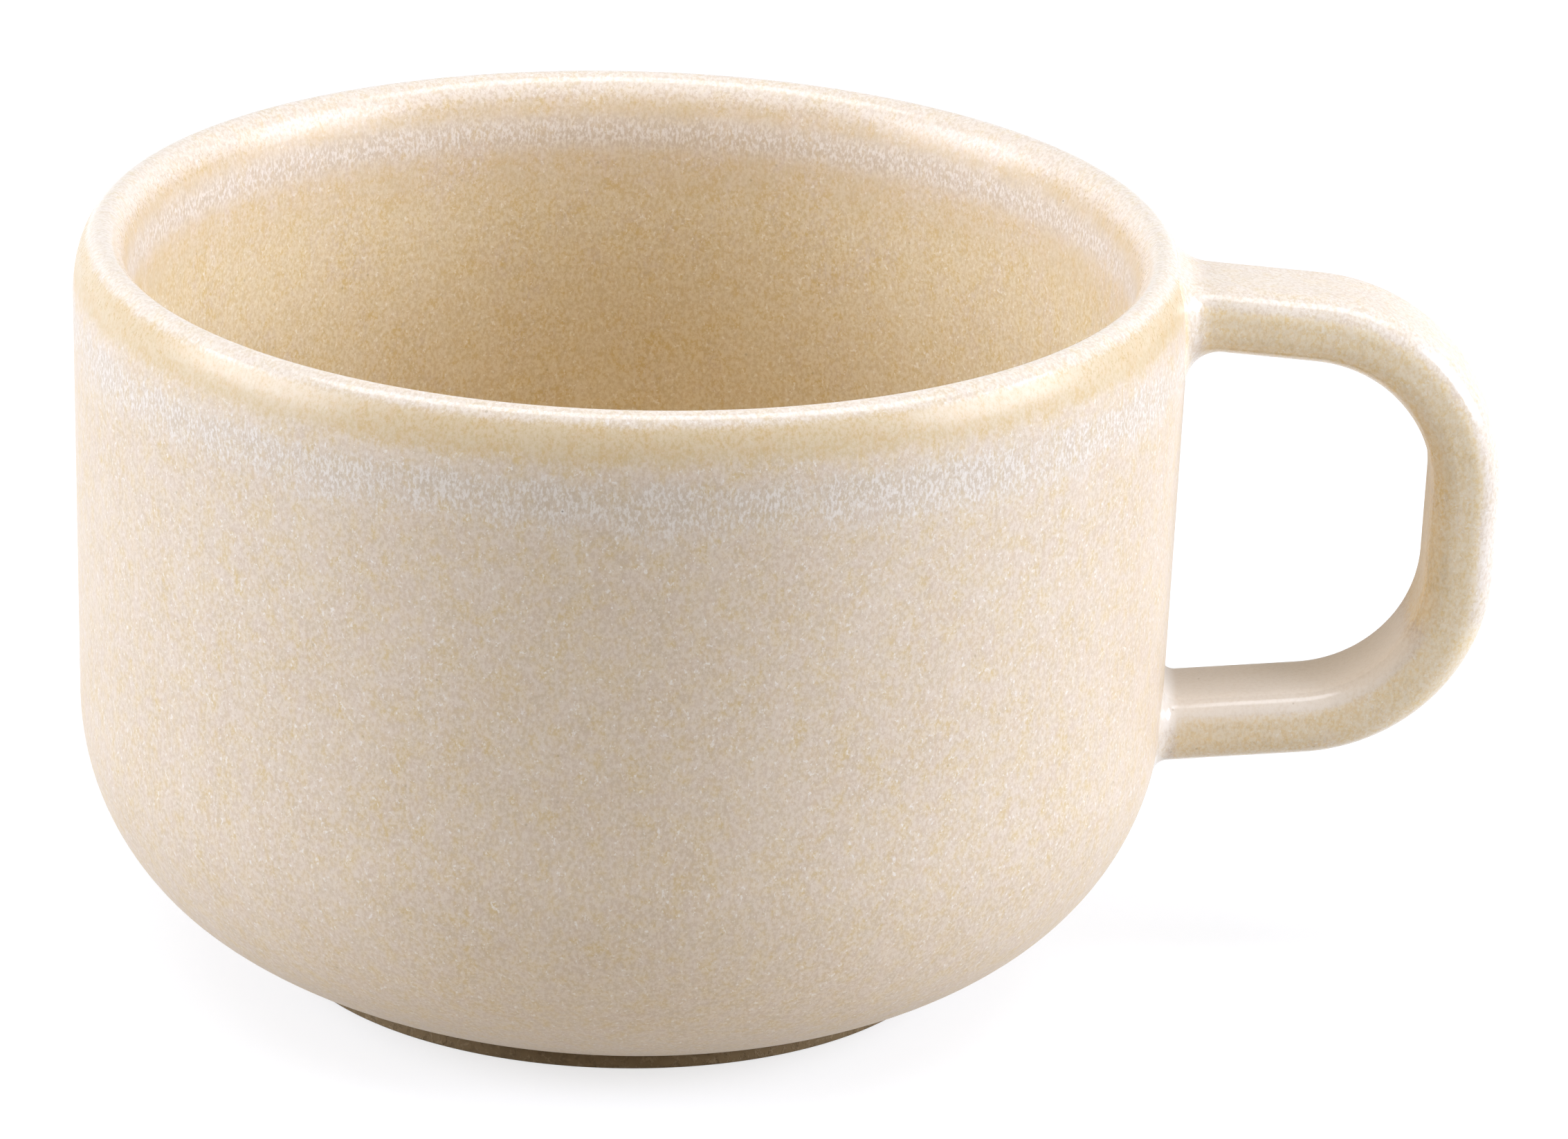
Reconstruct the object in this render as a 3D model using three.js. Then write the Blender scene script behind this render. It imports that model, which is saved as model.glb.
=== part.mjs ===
// A stoneware coffee cup: a formed bowl on a bare foot ring, with a strap handle luted on by two slip joints.
// Millimetres, +Z up. The origin is on the table under the middle of the whole cup. The handle is at +X.
import * as THREE from "three";

// Bowl
const rimDiameter = 90; // outside, at the base of the lip
const cupHeight = 61.3; // table to the top of the lip
const wallThickness = 4.5;
const lipDepth = 5.3; // height of the rounded lip, above the straight wall
const wallDraft = 1.1; // degrees that the straight wall leans in, going down
const shoulderHeight = 22.9; // where the straight wall turns into the round of the bowl
const floorThickness = 4.2; // over the recess inside the foot ring
const floorDiameter = 26; // level part of the floor, where the round of the bowl ends
const bowlSquareness = 2.18; // 2 is an ellipse, and more is squarer

// Foot ring
const footDiameter = 56;
const footHeight = 1.2; // table to the bowl's underside
const footWidth = 4.5;
const footEdgeRound = 0.4;
const glazeOverhang = 0.4; // how far the bowl stands out past the foot, where the glaze stops
const recessDepth = 1.2; // of the bowl's underside inside the foot ring
const recessBevel = 2; // width of the slope round the recess

// Handle, a strap with rounded edges
const strapWidth = 9.9; // across, along Y
const strapThickness = 5.5;
const strapEdgeRound = 2.2;
const fingerGap = 20.4; // clear distance from the wall to the grip, which runs parallel to the wall
const handleBend = 13.4; // centre line radius of both bends
const upperBarDrop = 4.6; // top of the lip down to the bar's centre line, where it meets the wall
const upperBarDroop = 4; // degrees below level, going outwards
const lowerBarHeight = 21; // table to the bar's centre line, where it meets the wall
const lowerBarRise = 5.6; // degrees above level, going outwards

// Slip joints, which lute the handle to the wall
const upperFilletTop = 4;
const upperFilletSide = 2.4;
const upperFilletUnder = 2.8;
const lowerFilletTop = 1;
const lowerFilletSide = 1.6;
const lowerFilletUnder = 1.3;
const jointLand = 0.6; // straight stretch of strap on the joint, past its fillet
const slipGap = 0.3; // between two luted faces

// Facets
const turnSegments = 72;
const lipSegments = 12;
const bowlSegments = 12;
const edgeSegments = 4;
const footEdgeSegments = 2;
const bendSegments = 12;
const filletSegments = 6;
const seatRings = 3;
const rollSteps = 60;

// Finishes
const bowlColour = 0xe6d8c0;
const handleColour = 0xdccfae;
const jointColour = 0xeee6d8;
const footColour = 0x6e5c42;
const glazeRoughness = 0.35;
const clayRoughness = 0.9;

const { degToRad } = THREE.MathUtils;
const rimRadius = rimDiameter / 2;
const footRadius = footDiameter / 2;
const footInnerRadius = footRadius - footWidth;
const floorRadius = floorDiameter / 2;
const recessHeight = footHeight + recessDepth;
const floorHeight = recessHeight + floorThickness;
const lipBase = cupHeight - lipDepth;
const wallSlope = Math.tan(degToRad(wallDraft));

// Outside radius of the straight wall at a height.
function wallRadius(height) {
  return rimRadius - (lipBase - height) * wallSlope;
}

// Part of a quarter superellipse, from its upright side towards its level floor, as far in as endRadius.
function bowlRound(side, floor, endRadius) {
  const width = side.x - floor.x;
  const depth = side.y - floor.y;
  const power = 2 / bowlSquareness;
  const endAngle = Math.acos(((endRadius - floor.x) / width) ** (1 / power));
  const points = [];
  for (let i = 0; i <= bowlSegments; i++) {
    const angle = (endAngle * i) / bowlSegments;
    const radius = floor.x + width * Math.max(Math.cos(angle), 0) ** power;
    points.push(new THREE.Vector2(radius, side.y - depth * Math.sin(angle) ** power));
  }
  return points;
}

// The outside's round comes down to the foot's height just past the foot ring, so its own floor is lower.
function outsideRound() {
  const side = new THREE.Vector2(wallRadius(shoulderHeight), shoulderHeight);
  const edge = footRadius + glazeOverhang;
  const share = ((edge - floorRadius) / (side.x - floorRadius)) ** bowlSquareness;
  const depth = (shoulderHeight - footHeight) / (1 - share) ** (1 / bowlSquareness);
  return bowlRound(side, new THREE.Vector2(floorRadius, shoulderHeight - depth), edge);
}

function insideRound() {
  const side = new THREE.Vector2(wallRadius(shoulderHeight) - wallThickness, shoulderHeight);
  return bowlRound(side, new THREE.Vector2(floorRadius, floorHeight), floorRadius);
}

// The lip is half an ellipse over the top of the wall, from its outside to its inside.
function lipOutline() {
  const middle = rimRadius - wallThickness / 2;
  const curve = new THREE.EllipseCurve(middle, lipBase, wallThickness / 2, lipDepth, 0, Math.PI);
  return curve.getPoints(lipSegments);
}

// Turns a profile of radius and height about the Z axis.
function turned(profile) {
  return new THREE.LatheGeometry(profile, turnSegments).rotateX(Math.PI / 2);
}

function bowlGeometry() {
  const underside = [
    new THREE.Vector2(0, recessHeight),
    new THREE.Vector2(footInnerRadius - recessBevel, recessHeight),
    new THREE.Vector2(footInnerRadius, footHeight),
  ];
  const floor = new THREE.Vector2(0, floorHeight);
  return turned([...underside, ...outsideRound().reverse(), ...lipOutline(), ...insideRound(), floor]);
}

function footGeometry() {
  const inner = footInnerRadius;
  const round = footEdgeRound;
  const profile = new THREE.Path()
    .moveTo(inner, footHeight)
    .lineTo(inner, round)
    .quadraticCurveTo(inner, 0, inner + round, 0)
    .lineTo(footRadius - round, 0)
    .quadraticCurveTo(footRadius, 0, footRadius, round)
    .lineTo(footRadius, footHeight)
    .lineTo(inner, footHeight);
  return turned(profile.getPoints(footEdgeSegments));
}

// The strap's section, as points with their outward normals: x is across the strap, y is through it.
function strapSection() {
  const corners = [
    [1, 1],
    [-1, 1],
    [-1, -1],
    [1, -1],
  ];
  return corners.flatMap(([sideX, sideY], quarter) => {
    const centre = new THREE.Vector2(
      sideX * (strapWidth / 2 - strapEdgeRound),
      sideY * (strapThickness / 2 - strapEdgeRound),
    );
    return Array.from({ length: edgeSegments + 1 }, (_, i) => {
      const angle = ((quarter + i / edgeSegments) * Math.PI) / 2;
      const normal = new THREE.Vector2(Math.cos(angle), Math.sin(angle));
      return { point: normal.clone().multiplyScalar(strapEdgeRound).add(centre), normal };
    });
  });
}

// Where a bar of the handle starts on the wall, with its directions: out along it, across it and up.
function barFrame(height, angle) {
  const along = new THREE.Vector3(Math.cos(degToRad(angle)), 0, Math.sin(degToRad(angle)));
  const across = new THREE.Vector3(0, 1, 0);
  const up = new THREE.Vector3().crossVectors(along, across);
  return { root: new THREE.Vector3(wallRadius(height), 0, height), along, across, up };
}

// A point of the strap's section, moved along its bar.
function onBar(bar, sectionPoint, travel) {
  return bar.root
    .clone()
    .addScaledVector(bar.across, sectionPoint.x)
    .addScaledVector(bar.up, sectionPoint.y)
    .addScaledVector(bar.along, travel);
}

const bowlOutside = [...lipOutline().reverse(), ...outsideRound()];

// The nearest point to a point outside the bowl, on the bowl's outside.
function nearestOnBowl(point) {
  const radius = Math.hypot(point.x, point.y);
  const here = new THREE.Vector3(radius, 0, point.z);
  const nearest = new THREE.Vector3();
  let least = Infinity;
  for (let i = 1; i < bowlOutside.length; i++) {
    const [from, to] = [bowlOutside[i - 1], bowlOutside[i]];
    const edge = new THREE.Line3(new THREE.Vector3(from.x, 0, from.y), new THREE.Vector3(to.x, 0, to.y));
    const candidate = edge.closestPointToPoint(here, true, new THREE.Vector3());
    if (candidate.distanceTo(here) < least) {
      least = candidate.distanceTo(here);
      nearest.copy(candidate);
    }
  }
  return new THREE.Vector3((nearest.x * point.x) / radius, (nearest.x * point.y) / radius, nearest.z);
}

// How far along a bar a ball stops against the bowl, with a gap kept, when it is rolled in from the grip.
function rollIn(bar, sectionPoint, ballRadius) {
  let travel = fingerGap;
  for (let i = 0; i < rollSteps; i++) {
    const centre = onBar(bar, sectionPoint, travel);
    travel -= centre.distanceTo(nearestOnBowl(centre)) - ballRadius - slipGap;
  }
  return travel;
}

// The fillet at each point of the section: an arc round a ball that touches both the strap and the wall.
// The ball's radius changes smoothly from the top of the strap, round its sides, to its underside.
function filletArcs(bar, fillet) {
  return strapSection().map(({ point, normal }) => {
    const upOrDown = normal.y > 0 ? fillet.top : fillet.under;
    const radius = THREE.MathUtils.lerp(fillet.side, upOrDown, normal.y ** 2);
    const ball = normal.clone().multiplyScalar(radius).add(point);
    const travel = rollIn(bar, ball, radius);
    const centre = onBar(bar, ball, travel);
    const toStrap = onBar(bar, point, travel).sub(centre).normalize();
    const toWall = nearestOnBowl(centre).sub(centre).normalize();
    const turn = new THREE.Quaternion().setFromUnitVectors(toStrap, toWall);
    const arc = Array.from({ length: filletSegments + 1 }, (_, i) => {
      const partTurn = new THREE.Quaternion().slerp(turn, i / filletSegments);
      return toStrap.clone().applyQuaternion(partTurn).multiplyScalar(radius).add(centre);
    });
    return { point, travel, arc };
  });
}

// Where the strap's own flat end meets a joint, measured along the bar.
function jointEnd(bar, fillet) {
  return Math.max(...filletArcs(bar, fillet).map(({ travel }) => travel)) + jointLand;
}

// Skins rings of points, all with the same count, and closes both ends with fans.
function loft(rings) {
  const count = rings[0].length;
  const index = [];
  for (let ring = 1; ring < rings.length; ring++) {
    for (let i = 0; i < count; i++) {
      const [a, b] = [(ring - 1) * count + i, (ring - 1) * count + ((i + 1) % count)];
      index.push(a, b, b + count, a, b + count, a + count);
    }
  }
  const last = (rings.length - 1) * count;
  for (let i = 2; i < count; i++) {
    index.push(0, i, i - 1, last, last + i - 1, last + i);
  }
  return new THREE.BufferGeometry().setFromPoints(rings.flat()).setIndex(index).toNonIndexed();
}

// A slip joint starts at the strap's flat end, flares along the fillet, and follows the wall behind.
function jointGeometry(bar, fillet) {
  const end = jointEnd(bar, fillet);
  const slices = filletArcs(bar, fillet);
  const strapEnd = slices.map(({ point }) => onBar(bar, point, end));
  const flare = Array.from({ length: filletSegments + 1 }, (_, i) => slices.map(({ arc }) => arc[i]));
  const seat = Array.from({ length: seatRings }, (_, i) =>
    slices.map(({ arc }) => {
      const offset = arc[filletSegments].clone().sub(bar.root);
      const shrink = 1 - (i + 1) / (seatRings + 1);
      const inner = new THREE.Vector2(offset.dot(bar.across), offset.dot(bar.up)).multiplyScalar(shrink);
      return onBar(bar, inner, rollIn(bar, inner, 0));
    }),
  );
  return loft([strapEnd, ...flare, ...seat].reverse());
}

// Where two lines in the plane of the handle cross, each given by a point and a direction.
function crossing(point, direction, otherPoint, otherDirection) {
  const gap = otherPoint.clone().sub(point);
  const travel = gap.cross(otherDirection) / direction.cross(otherDirection);
  return direction.clone().multiplyScalar(travel).add(point);
}

// The handle's centre line in the XZ plane: out along the upper bar, down the grip, back along the lower bar.
function handleCurves(upperBar, lowerBar) {
  const flat = (vector) => new THREE.Vector2(vector.x, vector.z);
  const start = flat(onBar(upperBar, new THREE.Vector2(), jointEnd(upperBar, upperFillet) + slipGap));
  const finish = flat(onBar(lowerBar, new THREE.Vector2(), jointEnd(lowerBar, lowerFillet) + slipGap));
  const gripFoot = new THREE.Vector2(wallRadius(0) + fingerGap + strapThickness / 2, 0);
  const gripUp = new THREE.Vector2(wallSlope, 1).normalize();
  const upperCorner = crossing(start, flat(upperBar.along), gripFoot, gripUp);
  const lowerCorner = crossing(finish, flat(lowerBar.along), gripFoot, gripUp);

  const stops = [start, upperCorner, lowerCorner, finish];
  const curves = [];
  let from = start;
  for (const i of [1, 2]) {
    const back = stops[i - 1].clone().sub(stops[i]).normalize();
    const on = stops[i + 1].clone().sub(stops[i]).normalize();
    const halfAngle = Math.acos(back.dot(on)) / 2;
    const centre = back
      .clone()
      .add(on)
      .normalize()
      .multiplyScalar(handleBend / Math.sin(halfAngle))
      .add(stops[i]);
    const arcStart = back.multiplyScalar(handleBend / Math.tan(halfAngle)).add(stops[i]);
    const arcEnd = on.multiplyScalar(handleBend / Math.tan(halfAngle)).add(stops[i]);
    const [startAngle, endAngle] = [arcStart, arcEnd].map((point) => point.clone().sub(centre).angle());
    curves.push(
      new THREE.LineCurve(from, arcStart),
      new THREE.EllipseCurve(centre.x, centre.y, handleBend, handleBend, startAngle, endAngle, true),
    );
    from = arcEnd;
  }
  return [...curves, new THREE.LineCurve(from, finish)];
}

// The strap, swept along the handle's centre line.
function handleGeometry(upperBar, lowerBar) {
  const section = strapSection();
  const stations = handleCurves(upperBar, lowerBar).flatMap((curve, i) => {
    const steps = curve.isEllipseCurve ? bendSegments : 1;
    const from = i === 0 ? 0 : 1;
    return Array.from({ length: steps + 1 - from }, (_, k) => {
      const share = (k + from) / steps;
      return { at: curve.getPoint(share), heading: curve.getTangent(share) };
    });
  });
  const rings = stations.map(({ at, heading }) =>
    section.map(({ point }) => {
      const x = at.x - heading.y * point.y;
      const z = at.y + heading.x * point.y;
      return new THREE.Vector3(x, point.x, z);
    }),
  );
  return loft(rings);
}

function piece(name, geometry, color, roughness) {
  const mesh = new THREE.Mesh(geometry, new THREE.MeshStandardMaterial({ color, roughness, metalness: 0 }));
  mesh.name = name;
  return mesh;
}

const upperFillet = { top: upperFilletTop, side: upperFilletSide, under: upperFilletUnder };
const lowerFillet = { top: lowerFilletTop, side: lowerFilletSide, under: lowerFilletUnder };
const upperBar = barFrame(cupHeight - upperBarDrop, -upperBarDroop);
const lowerBar = barFrame(lowerBarHeight, lowerBarRise);

// The pieces are made about the bowl's own axis, and the cup is then centred over the origin.
const pieces = new THREE.Group();
pieces.add(
  piece("bowl", bowlGeometry(), bowlColour, glazeRoughness),
  piece("foot_ring", footGeometry(), footColour, clayRoughness),
  piece("handle", handleGeometry(upperBar, lowerBar), handleColour, glazeRoughness),
  piece("upper_slip_joint", jointGeometry(upperBar, upperFillet), jointColour, glazeRoughness),
  piece("lower_slip_joint", jointGeometry(lowerBar, lowerFillet), jointColour, glazeRoughness),
);
const box = new THREE.Box3().setFromObject(pieces);
pieces.position.x = -(box.min.x + box.max.x) / 2;

const cup = new THREE.Group();
cup.name = "coffee_cup";
cup.add(pieces);

export default cup;
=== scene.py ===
# %% [markdown]
# # A low stoneware coffee cup
# The cup is a formed bowl on a bare foot ring, with a strap handle that is luted on by two slip joints.
# One cream glaze covers everything but the foot. It breaks to amber where it runs thin, over the lip and
# the edges of the strap, and it gathers frosty white where it pools, under the lip and in the joints.
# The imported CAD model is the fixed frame, so every piece is made in metres in the same place as its solid.

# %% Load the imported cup
import math

import bmesh
import bpy
import numpy as np
from mathutils import Matrix, Vector


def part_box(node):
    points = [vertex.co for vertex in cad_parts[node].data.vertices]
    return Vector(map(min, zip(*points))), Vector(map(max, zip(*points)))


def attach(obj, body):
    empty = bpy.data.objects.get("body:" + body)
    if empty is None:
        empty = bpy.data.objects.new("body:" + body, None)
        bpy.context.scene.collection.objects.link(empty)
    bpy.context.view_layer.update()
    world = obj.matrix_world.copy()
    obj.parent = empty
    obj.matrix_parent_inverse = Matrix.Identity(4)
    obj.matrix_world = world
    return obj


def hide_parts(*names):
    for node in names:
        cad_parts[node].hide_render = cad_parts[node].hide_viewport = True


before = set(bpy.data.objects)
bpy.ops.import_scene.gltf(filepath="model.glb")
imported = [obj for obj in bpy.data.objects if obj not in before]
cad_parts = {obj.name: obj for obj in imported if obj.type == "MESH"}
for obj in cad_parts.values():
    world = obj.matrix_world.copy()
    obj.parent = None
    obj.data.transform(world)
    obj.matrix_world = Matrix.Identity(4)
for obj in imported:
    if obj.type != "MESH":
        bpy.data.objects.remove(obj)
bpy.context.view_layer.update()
print("CAD nodes:", sorted(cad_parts))

# %% [markdown]
# ## The camera
# The photo was taken with a long lens from a little above the lip, with the handle to the right.
# A camera could be placed by eye, but here its place was fitted to the ellipses of the rim and the foot,
# so the render can be laid over the photo. The lens is given in pixels of the photo and turned into
# millimetres of Blender's sensor. The camera was also rolled a little, as a hand-held one is.

# %% Camera at the photo's view
MM = 0.001
PHOTO_WIDTH = 2266
FOCAL_PIXELS = 12355.09
SENSOR_WIDTH = 36.0
CAMERA_PLACE = Vector((0.163, -652.903, 280.401)) * MM
CAMERA_LOOKS_DOWN = 0.3627  # radians
CAMERA_ROLL = 0.0329  # radians

forward = Vector((0, math.cos(CAMERA_LOOKS_DOWN), -math.sin(CAMERA_LOOKS_DOWN)))
level_right = Vector((1, 0, 0))
level_up = level_right.cross(forward)
right = math.cos(CAMERA_ROLL) * level_right + math.sin(CAMERA_ROLL) * level_up
up = math.cos(CAMERA_ROLL) * level_up - math.sin(CAMERA_ROLL) * level_right

camera_lens = bpy.data.cameras.new("photo_camera")
camera_lens.sensor_fit = "HORIZONTAL"
camera_lens.sensor_width = SENSOR_WIDTH
camera_lens.lens = FOCAL_PIXELS / PHOTO_WIDTH * SENSOR_WIDTH
camera = bpy.data.objects.new("photo_camera", camera_lens)
turn = Matrix((right, up, -forward)).transposed().to_4x4()
camera.matrix_world = Matrix.Translation(CAMERA_PLACE) @ turn
bpy.context.scene.collection.objects.link(camera)
bpy.context.scene.camera = camera
print("lens in mm:", round(camera_lens.lens, 2))

# %% [markdown]
# ## Nodes by hand
# Materials and Geometry Nodes trees are all built from the same few moves: add a node, and feed each of
# its inputs with either a link or a plain value. These helpers keep the later cells down to what matters.

# %% Helpers for node trees
def feed(tree, socket, source):
    """Links an output to an input, or writes a plain value on the input."""
    if isinstance(source, bpy.types.NodeSocket):
        tree.links.new(source, socket)
    else:
        socket.default_value = source


def feed_all(tree, node, inputs):
    """Feeds a node's inputs, given by name or by place."""
    for key, source in inputs.items():
        feed(tree, node.inputs[key], source)


def add_node(tree, kind, inputs=None, **settings):
    """Adds a node, sets its own properties and then feeds its inputs."""
    node = tree.nodes.new(kind)
    for name, value in settings.items():
        setattr(node, name, value)
    feed_all(tree, node, inputs or {})
    return node


def calculate(tree, operation, *terms):
    """One step of arithmetic."""
    return add_node(tree, "ShaderNodeMath", dict(enumerate(terms)), operation=operation).outputs[0]


def soft_step(tree, value, low, high):
    """Rises smoothly from 0 at low to 1 at high."""
    values = {"Value": value, "From Min": low, "From Max": high}
    return add_node(tree, "ShaderNodeMapRange", values, interpolation_type="SMOOTHSTEP").outputs["Result"]


def mix_colour(tree, share, first, second):
    """Goes from the first colour to the second as the share goes from 0 to 1."""
    node = add_node(tree, "ShaderNodeMix", data_type="RGBA", clamp_factor=True)
    sockets = {socket.identifier: socket for socket in (*node.inputs, *node.outputs)}
    for key, source in {"Factor_Float": share, "A_Color": first, "B_Color": second}.items():
        feed(tree, sockets[key], source)
    return sockets["Result_Color"]


def mix_value(tree, share, first, second):
    """Goes from the first number to the second as the share goes from 0 to 1."""
    values = {"Factor": share, "A": first, "B": second}
    return add_node(tree, "ShaderNodeMix", values, data_type="FLOAT", clamp_factor=True).outputs["Result"]


def new_group(name, kind, inputs, outputs):
    """Makes a node group with named sockets, and gives it with its input and output nodes."""
    group = bpy.data.node_groups.new(name, kind)
    for side, sockets in {"INPUT": inputs, "OUTPUT": outputs}.items():
        for title, socket_type in sockets.items():
            group.interface.new_socket(title, in_out=side, socket_type="NodeSocket" + socket_type)
    return group, group.nodes.new("NodeGroupInput"), group.nodes.new("NodeGroupOutput")


def place_group(tree, group, values):
    """Places a group in a material, feeds its inputs and gives its outputs."""
    return add_node(tree, "ShaderNodeGroup", values, node_tree=group).outputs


def new_material(name):
    """A material, its tree, its Principled shader and the piece's own coordinates for its textures."""
    material = bpy.data.materials.new(name)
    material.use_nodes = True
    tree = material.node_tree
    place = add_node(tree, "ShaderNodeTexCoord").outputs["Object"]
    return material, tree, tree.nodes["Principled BSDF"], place


def from_screen(red, green, blue):
    """A colour as a picture shows it, from 0 to 255, turned into the linear one that shaders use."""
    shares = [value / 255 for value in (red, green, blue)]
    linear = [s / 12.92 if s <= 0.04045 else ((s + 0.055) / 1.055) ** 2.4 for s in shares]
    return (*linear, 1.0)


print("helpers ready")

# %% [markdown]
# ## Flecks, shared by the glaze and the clay
# A satin stoneware glaze is full of tiny crystals, and the clay under it is full of grog, which is crushed
# fired clay. Both look like specks of one size that cover some share of the surface. Photos of flecks
# could be wrapped round the cup, but a noise in the cup's own coordinates has no seams and flows from one
# piece to the next. The group cuts the noise at a level, so that a larger Cover leaves more flecks.

# %% Fleck group
FLECK_DETAIL = 3.0
FLECK_ROUGHNESS = 0.65


def build_flecks():
    inputs = {"Vector": "Vector", "Size": "Float", "Cover": "Float", "Softness": "Float"}
    group, entry, result = new_group("flecks", "ShaderNodeTree", inputs, {"Mask": "Float"})
    given = entry.outputs
    values = {
        "Vector": given["Vector"],
        "Scale": calculate(group, "DIVIDE", 1.0, given["Size"]),
        "Detail": FLECK_DETAIL,
        "Roughness": FLECK_ROUGHNESS,
    }
    noise = add_node(group, "ShaderNodeTexNoise", values)
    level = calculate(group, "SUBTRACT", 1.0, given["Cover"])
    low = calculate(group, "SUBTRACT", level, given["Softness"])
    high = calculate(group, "ADD", level, given["Softness"])
    feed(group, result.inputs["Mask"], soft_step(group, noise.outputs[0], low, high))
    return group


fleck_group = build_flecks()
print("group:", fleck_group.name)

# %% [markdown]
# ## Pinholes and specks
# Gas leaves the clay as it is fired, and where the glaze is thick it leaves small dark pinholes with a pale
# ring round them. Iron specks are the same thing without the ring. A Voronoi texture scatters points with
# some distance between them, and a random number for each cell says which cells get a spot.

# %% Spot group
SPOT_EDGE = (1.2, 0.6)  # in radii of the spot, from none of it to all of it
RING_EDGE = (2.6, 1.4)


def build_spots():
    inputs = {"Vector": "Vector", "Spacing": "Float", "Radius": "Float", "Share": "Float"}
    outputs = {"Spot": "Float", "Ring": "Float"}
    group, entry, result = new_group("spots", "ShaderNodeTree", inputs, outputs)
    given = entry.outputs
    scale = calculate(group, "DIVIDE", 1.0, given["Spacing"])
    cells = add_node(group, "ShaderNodeTexVoronoi", {"Vector": given["Vector"], "Scale": scale})
    distance = calculate(group, "MULTIPLY", cells.outputs["Distance"], given["Spacing"])
    reach = calculate(group, "DIVIDE", distance, given["Radius"])
    lot = add_node(group, "ShaderNodeSeparateColor", {0: cells.outputs["Color"]})
    chosen = calculate(group, "LESS_THAN", lot.outputs[0], given["Share"])
    inner = soft_step(group, reach, *SPOT_EDGE)
    around = calculate(group, "SUBTRACT", soft_step(group, reach, *RING_EDGE), inner)
    for name, mask in {"Spot": inner, "Ring": around}.items():
        feed(group, result.inputs[name], calculate(group, "MULTIPLY", mask, chosen))
    return group


spot_group = build_spots()
print("group:", spot_group.name)

# %% [markdown]
# ## The glaze
# One glaze, fired once, gives the cup's colours: a warm cream body full of pale and ochre flecks, an amber
# skin where it is thin, and a frosty band where it is thick. The golden inside is painted bounce light and
# shade of the cup's hollow, in the same glaze. What the glaze does follows the form, so each piece carries
# five numbers at its points, for how thin, pooled, golden, white and glossy it is; on the strap the golden
# and white numbers also carry painted light, and the thin one painted shade. The material reads them, and
# noise frays their edges as running glaze does. It is built twice: inside the bowl its golden colours are the
# painted bounce light, and on the strap they are a honey colour, painted lighter for the fill light that the
# handle gets.

# %% Glaze colours
def palette(**colours):
    """The colours of the glaze's layers, from its ground up to its crystals."""
    return {layer: from_screen(*colour) for layer, colour in colours.items()}


BODY = palette(
    tan=(210, 189, 160),
    ochre=(215, 186, 126),
    rose=(215, 193, 173),
    pale=(235, 220, 201),
    crystal=(249, 243, 234),
)
# Painted bounce light and shade: the golden colours of the inside stand for the warm light that bounces round
# the hollow.
INSIDE_PAINTED_BOUNCE = palette(
    tan=(215, 192, 147),
    ochre=(214, 182, 111),
    rose=(219, 195, 156),
    pale=(239, 225, 197),
    crystal=(249, 241, 226),
)
# Painted fill light: a honey copy of the golden colours, made lighter for the light that the handle gets.
HONEY_PAINTED_FILL = palette(
    tan=(236, 211, 163),
    ochre=(236, 203, 130),
    rose=(238, 213, 173),
    pale=(246, 233, 206),
    crystal=(251, 244, 229),
)
FROST_GREY = from_screen(205, 188, 167)
FROST_WHITE = from_screen(239, 231, 221)
SMOOTH_WHITE = from_screen(243, 232, 217)
AMBER = from_screen(211, 187, 142)
AMBER_DEEP = from_screen(207, 175, 121)
PINHOLE = from_screen(128, 108, 86)
OLIVE_SPECK = from_screen(158, 136, 92)
print("layers of the glaze:", list(BODY))

# %% Glaze helpers
FRAY_START = (0.0, 0.2)


def moved(tree, vector, offset):
    """The same coordinates shifted. A noise that is moved gives an independent pattern."""
    return add_node(tree, "ShaderNodeVectorMath", {0: vector, 1: offset}, operation="ADD").outputs[0]


def stretched(tree, vector, scale):
    return add_node(tree, "ShaderNodeMapping", {"Vector": vector, "Scale": scale}).outputs["Vector"]


def flecks(tree, vector, size, cover, softness):
    """A mask of flecks. The size is in millimetres."""
    values = {"Vector": vector, "Size": size * MM, "Cover": cover, "Softness": softness}
    return place_group(tree, fleck_group, values)["Mask"]


def spots(tree, vector, spacing, radius, share):
    """Masks of spots and of the rings round them. Spacing and radius are in millimetres."""
    values = {"Vector": vector, "Spacing": spacing * MM, "Radius": radius * MM, "Share": share}
    return place_group(tree, spot_group, values)


def form_number(tree, name):
    """A number that the piece carries at its points."""
    return add_node(tree, "ShaderNodeAttribute", attribute_name=name).outputs["Fac"]


def part_of(tree, mask, share):
    return calculate(tree, "MULTIPLY", mask, share)


def swing(tree, mask, reach):
    """A mask turned into a push to either side of zero."""
    return calculate(tree, "MULTIPLY_ADD", mask, reach, -reach / 2)


def pushed(tree, name, push, low, high):
    """One of the numbers that a piece carries, frayed by noise and brought back to between 0 and 1."""
    number = form_number(tree, name)
    some = calculate(tree, "MULTIPLY", push, soft_step(tree, number, *FRAY_START))
    return soft_step(tree, calculate(tree, "ADD", number, some), low, high)


print("glaze helpers ready")

# %% Flecks in the glaze
BODY_STRETCH = (1.0, 1.0, 0.8)
RUN_STRETCH = (1.0, 1.0, 0.5)
LAYER_SHARES = {"ochre": 0.7, "rose": 0.6, "pale": 0.6, "crystal": 0.6}
FRAY_REACH = {"fray": 0.5, "frost": 0.4, "cloud": 0.5}


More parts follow.
